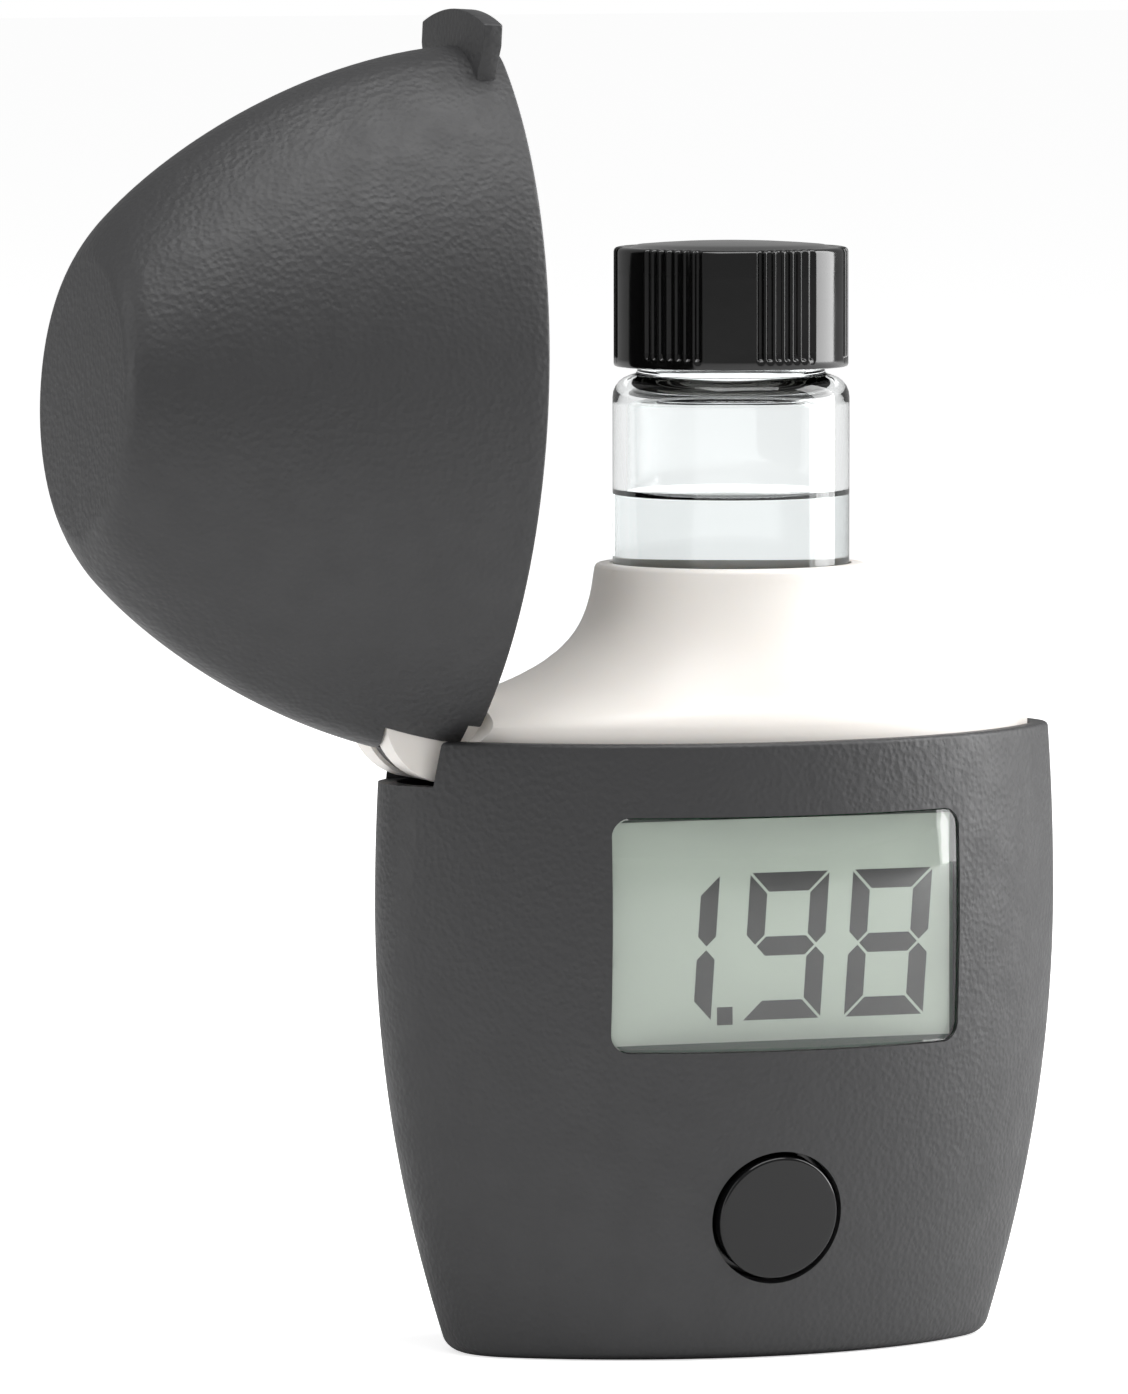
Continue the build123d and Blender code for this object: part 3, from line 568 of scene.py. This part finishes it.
class PHOTOMETER_OT_lid(bpy.types.Operator):
    """Builds the lid: the domed shell, its hinge tongue and its finger tab"""

    bl_idname = "photometer.lid"
    bl_label = "Build lid"

    def execute(self, context):
        case = context.scene.photometer_case
        rim, height, wall = case.rim_height / MM + 0.15, case.lid_height / MM, case.lid_wall / MM
        shares = [1 - (1 - step / 40)**1.6 for step in range(41)]
        edge, bend, roof = 0.25, 1.9, 1.6
        rings = [lid_ring(1 - roof / height, height, wall + 4.0, rim)]
        rings += [lid_ring(share * (1 - roof / height), height, wall, rim) for share in reversed(shares)]
        for step in range(4):
            angle = pi / 2 * step / 3
            ring = lid_ring(0, height, edge * (1 - sin(angle)), rim)
            rings.append([(x, y, z + edge * (1 - cos(angle))) for x, y, z in ring])
        for share in shares[1:]:
            top = share * height
            if top > height - bend:
                break
            rings.append(lid_ring(share, height, 0, rim))
        for step in range(11):
            angle = pi / 2 * step / 10
            share = (height - bend * (1 - sin(angle))) / height
            rings.append(lid_ring(share, height, bend * 0.62 * (1 - cos(angle)), rim))
        shell = skin(rings)
        side, far = 6.3, -40
        relief = bar(
            [(far, -side), (PIVOT.x, -side), (PIVOT.x, side), (far, side)], 3.0,
            Matrix.Translation((0, 0, rim - 1.8)))
        cutters = [relief]
        across = Matrix.Rotation(pi / 2, 4, "X")
        ear_room = 3.45
        for start in (-4.5, 1.05):
            cutters.append(bar(
                circle(6.0, 64), ear_room, Matrix.Translation((PIVOT.x, start + ear_room, PIVOT.z)) @ across))
        shell = carved(shell, *cutters)
        tongue = [(2.2 * cos(angle), 2.2 * sin(angle)) for angle in eased(radians(190), radians(400), 20)]
        tongue += [(5.5 * cos(angle), 5.5 * sin(angle)) for angle in eased(radians(48), radians(183), 32)]
        tongue = bar(tongue, 2.1, Matrix.Translation((PIVOT.x, 1.05, PIVOT.z)) @ across)
        bow, middle, spread = 21.25, 11.55, 0.3357
        nose = [(middle + bow * cos(angle), bow * sin(angle)) for angle in eased(-spread, spread, 24)]
        tab = [(27.4, 6.0), (24.0, 5.2), (24.0, -5.2), (27.4, -6.0), (29.85, -7.0), *nose, (29.85, 7.0)]
        tab = soften(bar(tab, 1.7, Matrix.Translation((0, 0, rim + 1.35))), 0.14, 40)
        whole = joined(shell, tongue, tab)
        swing = Matrix.Rotation(-case.open_angle, 4, "Y")
        swing = Matrix.Translation(PIVOT) @ swing @ Matrix.Translation(-PIVOT)
        bmesh.ops.transform(whole, matrix=swing, verts=whole.verts)
        piece("case_lid", whole, "lid_body", grained_abs(case.colour), ["lid"], sharp=40)
        return {"FINISHED"}


# vial, sample and cap


class PHOTOMETER_OT_vial(bpy.types.Operator):
    """Builds the glass vial and the sample in it"""

    bl_idname = "photometer.vial"
    bl_label = "Build vial and sample"

    def execute(self, context):
        vial = context.scene.photometer_vial
        radius, foot, fill = vial.radius / MM, vial.bottom / MM, vial.fill_height / MM
        bore = radius - 1.2
        profile = [
            (0, foot + 0.5), (radius - 2.4, foot + 0.35), (radius - 1.6, foot), (radius, foot),
            (radius, 81.9), (7.9, 81.9), (7.9, 84.4), (8.6, 84.9), (8.6, 85.8), (7.9, 86.3), (7.9, 87.5),
            (8.6, 88.0), (8.6, 88.9), (7.9, 89.4), (7.9, 91.4), (6.4, 91.4), (6.4, 80.6), (bore, 80.6),
            (bore, foot + 1.5), (0, foot + 1.5)]
        bends = {3: 0.9, 4: 1.9, 5: 0.5, 14: 0.4, 15: 0.4, 16: 0.8, 17: 1.3, 18: 1.0}
        glass = turned(rounded(profile, bends), VIAL_X)
        piece("glass_vial", glass, "vial_body", borosilicate(), ["vial_glass"], sharp=60)
        wet = bore + 0.012
        profile = [
            (0, foot + 1.49), (wet, foot + 1.49), (wet, fill + 0.55), (wet - 0.12, fill + 0.28),
            (wet - 0.45, fill + 0.08), (wet - 1.1, fill), (0, fill)]
        sample = turned(rounded(profile, {1: 1.0}), VIAL_X)
        piece("sample_water", sample, "vial_body", sample_water(), ["sample_liquid"], sharp=60)
        return {"FINISHED"}


# the middle of one group of flutes, and the step from flute to flute
CAP_PHASE, FLUTE_PITCH = radians(36.2), radians(4.8)


def flute_cut(angle, groups, flutes):
    """How deep the cap's grip is cut at an angle, from 0 to 1."""
    sector = 2 * pi / groups
    local = (angle - CAP_PHASE + sector / 2) % sector - sector / 2
    reach = flutes * FLUTE_PITCH / 2
    if abs(local) > reach:
        return 0.0
    wave = 0.5 + 0.5 * cos(2 * pi * (local / FLUTE_PITCH + (0 if flutes % 2 else 0.5)))
    return min(1.0, 1.5 * wave**1.2)


class PHOTOMETER_OT_cap(bpy.types.Operator):
    """Builds the black screw cap with its groups of grip flutes"""

    bl_idname = "photometer.cap"
    bl_label = "Build cap"

    def execute(self, context):
        vial = context.scene.photometer_vial
        radius, low, top = vial.cap_radius / MM, 82.6, 92.65
        steps = 768

        def ring(inset, z, cut=0.0):
            points = []
            for step in range(steps):
                angle = 2 * pi * step / steps
                reach = radius - inset - 0.3 * cut * flute_cut(angle, vial.flute_groups, vial.flutes)
                points.append((VIAL_X + reach * cos(angle), reach * sin(angle), z))
            return points

        rings = [ring(radius - 7.2, top - 1.0), ring(0.95, top - 1.0), ring(0.95, low + 0.2), ring(0.8, low)]
        rings += [ring(0.25, low), ring(0.07, low + 0.07), ring(0, low + 0.25), ring(0, low + 0.7)]
        rings += [ring(0, low + 0.8, 0.25), ring(0, low + 0.92, 0.8), ring(0, low + 1.0, 1.0)]
        rings += [ring(0, z, 1.0) for z in eased(low + 1.4, top - 0.35, 4)]
        rings += [ring(0.06, top - 0.16, 1.0), ring(0.2, top - 0.03, 0.9), ring(0.45, top + 0.03, 0.5)]
        rings += [ring(0.8, top + 0.05), ring(1.1, top - 0.02), ring(1.4, top + 0.02)]
        rise = 0.55
        dome = (radius**2 + rise**2) / (2 * rise)
        for inset in (2.0, 3.5, 5.5, 7.5, 9.3):
            rings.append(ring(inset, top + rise - dome + sqrt(dome**2 - (radius - inset)**2)))
        cap = skin(rings)
        piece("screw_cap", cap, "cap_body", polished_phenolic(), ["vial_cap"], sharp=45)
        return {"FINISHED"}


# display and button


SEGMENTS = {
    "0": "abcdef", "1": "bc", "2": "abged", "3": "abgcd", "4": "fgbc", "5": "afgcd", "6": "afgedc", "7": "abc",
    "8": "abcdefg", "9": "abcdfg"}


def segment(name, width, height, thick, gap):
    """One segment of a digit: a flat outline with slanted ends, about the digit's centre."""
    half, reach, inner = thick / 2, width / 2 - thick / 2, height / 2 - thick / 2
    middle = {"a": (0, inner), "d": (0, -inner), "g": (0, 0)}.get(name)
    if middle:
        x, y = reach - gap, middle[1]
        if name == "g":
            return [
                (-x, y), (-x + half, y + half), (x - half, y + half), (x, y), (x - half, y - half),
                (-x + half, y - half)]
        sign = 1 if name == "a" else -1
        return [(-x - half, y + sign * half), (x + half, y + sign * half), (x - half, y - sign * half),
                (-x + half, y - sign * half)]
    side = 1 if name in "bc" else -1
    rise = 1 if name in "bf" else -1
    low, high = gap, inner - gap
    return [
        (side * reach, rise * low), (side * (reach + half), rise * (low + half)),
        (side * (reach + half), rise * (high + half)), (side * (reach - half), rise * (high - half)),
        (side * (reach - half), rise * (low + half))]


class PHOTOMETER_OT_display(bpy.types.Operator):
    """Builds the number that the display shows, on the face of its front glass"""

    bl_idname = "photometer.display"
    bl_label = "Build display"

    def execute(self, context):
        display = context.scene.photometer_display
        height, thick, lean = display.digit_height / MM, 1.6, 0.07
        width, front = 7.1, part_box("display_front_glass")[0].y / MM
        flat = Matrix.Rotation(pi / 2, 4, "X")
        digit_x, digit_z, dot_x, dot_z, film = (-9.45, 0.42, 9.68), 34.72, -5.05, 29.0, 0.02
        bars = []
        for number, sign in enumerate(display.reading.replace(".", "")):
            for name in SEGMENTS[sign]:
                outline = segment(name, width, height, thick, 0.16)
                outline = [(x + lean * y, y) for x, y in outline]
                place = Matrix.Translation((digit_x[number], front - 0.005, digit_z)) @ flat
                bars.append(bar(outline, film, place))
        dot = [(-0.7, -0.75), (0.7, -0.75), (0.7, 0.75), (-0.7, 0.75)]
        bars.append(bar(dot, film, Matrix.Translation((dot_x, front - 0.005, dot_z)) @ flat))
        reading = joined(*bars)
        piece("display_reading", reading, "housing_body", display_ink())
        return {"FINISHED"}


class PHOTOMETER_OT_button(bpy.types.Operator):
    """Builds the round push button"""

    bl_idname = "photometer.button"
    bl_label = "Build button"

    def execute(self, context):
        profile = [
            (0, -0.25), (2.0, -0.24), (3.6, -0.19), (4.7, -0.12), (5.3, -0.06), (5.3, 2.35),
            (6.3, 2.35), (6.3, 3.0), (4.4, 3.0), (4.4, 1.0), (1.2, 1.0), (1.2, 3.4), (0, 3.4)]
        button = turned(rounded(profile, {4: 0.3, 6: 0.2}))
        bmesh.ops.transform(button, matrix=button_frame(), verts=button.verts)
        piece("push_button", button, "button_body", gloss_button(), ["button"], sharp=50)
        return {"FINISHED"}


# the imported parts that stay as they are


class PHOTOMETER_OT_inside(bpy.types.Operator):
    """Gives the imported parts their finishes: chassis, window, battery bay, board and the small metal parts"""

    bl_idname = "photometer.inside"
    bl_label = "Finish the other parts"

    def execute(self, context):
        white = white_abs()
        case = grained_abs(context.scene.photometer_case.colour)
        steel = plain("drawn_steel_nickel_plated", "#b9b8b4", 0.24, 0.34, 1.5, 0.03, 0.002, Metallic=1.0)
        brass = plain("rolled_brass_strip", "#c9a35c", 0.28, 0.38, 2.0, 0.04, 0.003, Metallic=1.0)
        mask = plain("solder_mask_green", "#1d5a38", 0.32, 0.42, 1.2, 0.06, 0.004, IOR=1.5)
        epoxy = plain("moulded_epoxy_black", "#17181a", 0.5, 0.62, 0.8, 0.05, 0.006, IOR=1.5)
        acetal = plain("turned_acetal_black", "#141416", 0.34, 0.44, 2.0, 0.04, 0.004, IOR=1.48)
        rubber = plain("conductive_rubber_black", "#1b1b1c", 0.62, 0.74, 0.6, 0.05, 0.006, IOR=1.45)
        foam = plain("closed_cell_foam_white", "#e6e4dc", 0.6, 0.75, 0.4, 0.04, 0.02, IOR=1.4)
        sleeve = plain("printed_shrink_sleeve_grey", "#4b4f55", 0.3, 0.4, 5.0, 0.03, 0.003, IOR=1.5)
        film = plain("satin_reflector_film", "#a9b0a9", 0.42, 0.5, 1.0, 0.03, 0.002, IOR=1.5)
        lens = plain(
            "cast_epoxy_clear", "#e8dfc4", 0.05, 0.09, 2.0, 0.02, 0.001, IOR=1.5, Transmission_Weight=0.85)
        filter_glass = plain(
            "dyed_filter_glass_blue", "#3f74c4", 0.04, 0.08, 3.0, 0.02, 0.001, IOR=1.52, Transmission_Weight=0.7)
        ground = display_ground(context.scene.photometer_display.glass_colour)
        finishes = {
            "chassis": white, "battery_cover": case, "display_window": clear_acrylic(), "hinge_pin": steel,
            "base_screws": steel, "battery_cover_screw": steel, "board_screws": steel, "seat_spring": steel,
            "battery_minus_contact": steel, "battery_plus_contact": brass, "circuit_board": mask,
            "detector_board": mask, "microcontroller": epoxy, "board_chips": epoxy, "photodiode": epoxy,
            "tact_switch": epoxy, "switch_plunger": acetal, "vial_seat": acetal, "cap_liner": foam,
            "display_contact_strips": rubber, "battery": sleeve, "display_reflector": film, "lamp": lens,
            "optical_filter": filter_glass, "display_front_glass": ground, "display_rear_glass": ground}
        for node, finish in finishes.items():
            dress(node, finish)
        return {"FINISHED"}


# floor, light and camera


class PHOTOMETER_OT_stage(bpy.types.Operator):
    """Sets the pale floor, the soft studio light and the camera"""

    bl_idname = "photometer.stage"
    bl_label = "Set the stage"

    def execute(self, context):
        scene = context.scene
        scene.view_settings.view_transform = "Standard"
        world = bpy.data.worlds.new("studio")
        world.use_nodes = True
        scene.world = world
        tree = world.node_tree
        strength = add(tree, "ShaderNodeMapRange", {
            "Value": seen_through_air_or_glass(tree), "To Min": 0.34, "To Max": 1.0})
        sky = next(node for node in tree.nodes if node.type == "BACKGROUND")
        sky.inputs["Color"].default_value = (1, 1, 1, 1)
        tree.links.new(strength.outputs["Result"], sky.inputs["Strength"])

        mesh = bmesh.new()
        bmesh.ops.create_grid(mesh, x_segments=2, y_segments=2, size=6.0)
        data = bpy.data.meshes.new("floor")
        mesh.to_mesh(data)
        mesh.free()
        floor = bpy.data.objects.new("floor", data)
        scene.collection.objects.link(floor)
        made = bpy.data.materials.new("seamless_paper_white")
        made.use_nodes = True
        tree = made.node_tree
        shader = next(node for node in tree.nodes if node.type == "BSDF_PRINCIPLED")
        shader.inputs["Roughness"].default_value = 0.9
        shader.inputs["Specular IOR Level"].default_value = 0.0
        shader.inputs["Base Color"].default_value = linear("#f6f6f6")
        glow = add(
            tree, "ShaderNodeMath", {0: seen_through_air_or_glass(tree), 1: 0.66}, operation="MULTIPLY")
        shader.inputs["Emission Color"].default_value = (1, 1, 1, 1)
        tree.links.new(glow.outputs[0], shader.inputs["Emission Strength"])
        data.materials.append(made)

        def softbox(name, at, towards, width, height, power):
            lamp = bpy.data.lights.new(name, "AREA")
            lamp.shape = "RECTANGLE"
            lamp.size, lamp.size_y, lamp.energy = width, height, power
            box = bpy.data.objects.new(name, lamp)
            box.location = at
            box.rotation_mode = "QUATERNION"
            box.rotation_quaternion = (Vector(towards) - Vector(at)).to_track_quat("-Z", "Y")
            scene.collection.objects.link(box)

        softbox("key_right", (0.80, -0.10, 0.35), (0.0, 0.0, 0.05), 0.5, 0.9, 9.0)
        softbox("top", (0.0, -0.25, 1.0), (0.0, 0.0, 0.05), 0.9, 0.6, 8.0)
        softbox("fill_left", (-0.95, 0.15, 0.40), (0.0, 0.0, 0.05), 0.4, 0.9, 2.5)

        lens = bpy.data.cameras.new("camera")
        lens.lens, lens.sensor_width = 340.3, 36.0
        lens.shift_x, lens.shift_y = -0.1096, 0.0395
        lens.clip_start, lens.clip_end = 0.05, 30.0
        camera = bpy.data.objects.new("camera", lens)
        camera.location = (-0.4310, -1.0229, 0.1315)
        camera.rotation_mode = "QUATERNION"
        camera.rotation_quaternion = (Vector((0, 0, 0.05)) - camera.location).to_track_quat("-Z", "Y")
        scene.collection.objects.link(camera)
        scene.camera = camera
        return {"FINISHED"}


# panel and registration


class PHOTOMETER_PT_panel(bpy.types.Panel):
    """Lists the sizes, colours and builders of the photometer"""

    bl_label = "Photometer"
    bl_space_type = "VIEW_3D"
    bl_region_type = "UI"
    bl_category = "Photometer"

    def draw(self, context):
        for group in GROUPS:
            values = getattr(context.scene, group)
            box = self.layout.box()
            for name in values.__annotations__:
                box.prop(values, name)
        for builder in BUILDERS:
            self.layout.operator(builder.bl_idname)


GROUPS = {
    "photometer_case": PhotometerCase, "photometer_vial": PhotometerVial,
    "photometer_display": PhotometerDisplay}
BUILDERS = (
    PHOTOMETER_OT_stage, PHOTOMETER_OT_housing, PHOTOMETER_OT_lid, PHOTOMETER_OT_vial, PHOTOMETER_OT_cap,
    PHOTOMETER_OT_display, PHOTOMETER_OT_button, PHOTOMETER_OT_inside)


def register():
    for made in (*GROUPS.values(), *BUILDERS, PHOTOMETER_PT_panel):
        bpy.utils.register_class(made)
    for name, made in GROUPS.items():
        setattr(bpy.types.Scene, name, PointerProperty(type=made))


def unregister():
    for name in GROUPS:
        delattr(bpy.types.Scene, name)
    for made in reversed((*GROUPS.values(), *BUILDERS, PHOTOMETER_PT_panel)):
        bpy.utils.unregister_class(made)


def main():
    """Builds everything in order."""
    register()
    bpy.ops.photometer.stage()
    bpy.ops.photometer.housing()
    bpy.ops.photometer.lid()
    bpy.ops.photometer.vial()
    bpy.ops.photometer.cap()
    bpy.ops.photometer.display()
    bpy.ops.photometer.button()
    bpy.ops.photometer.inside()


if __name__ == "__main__":
    main()
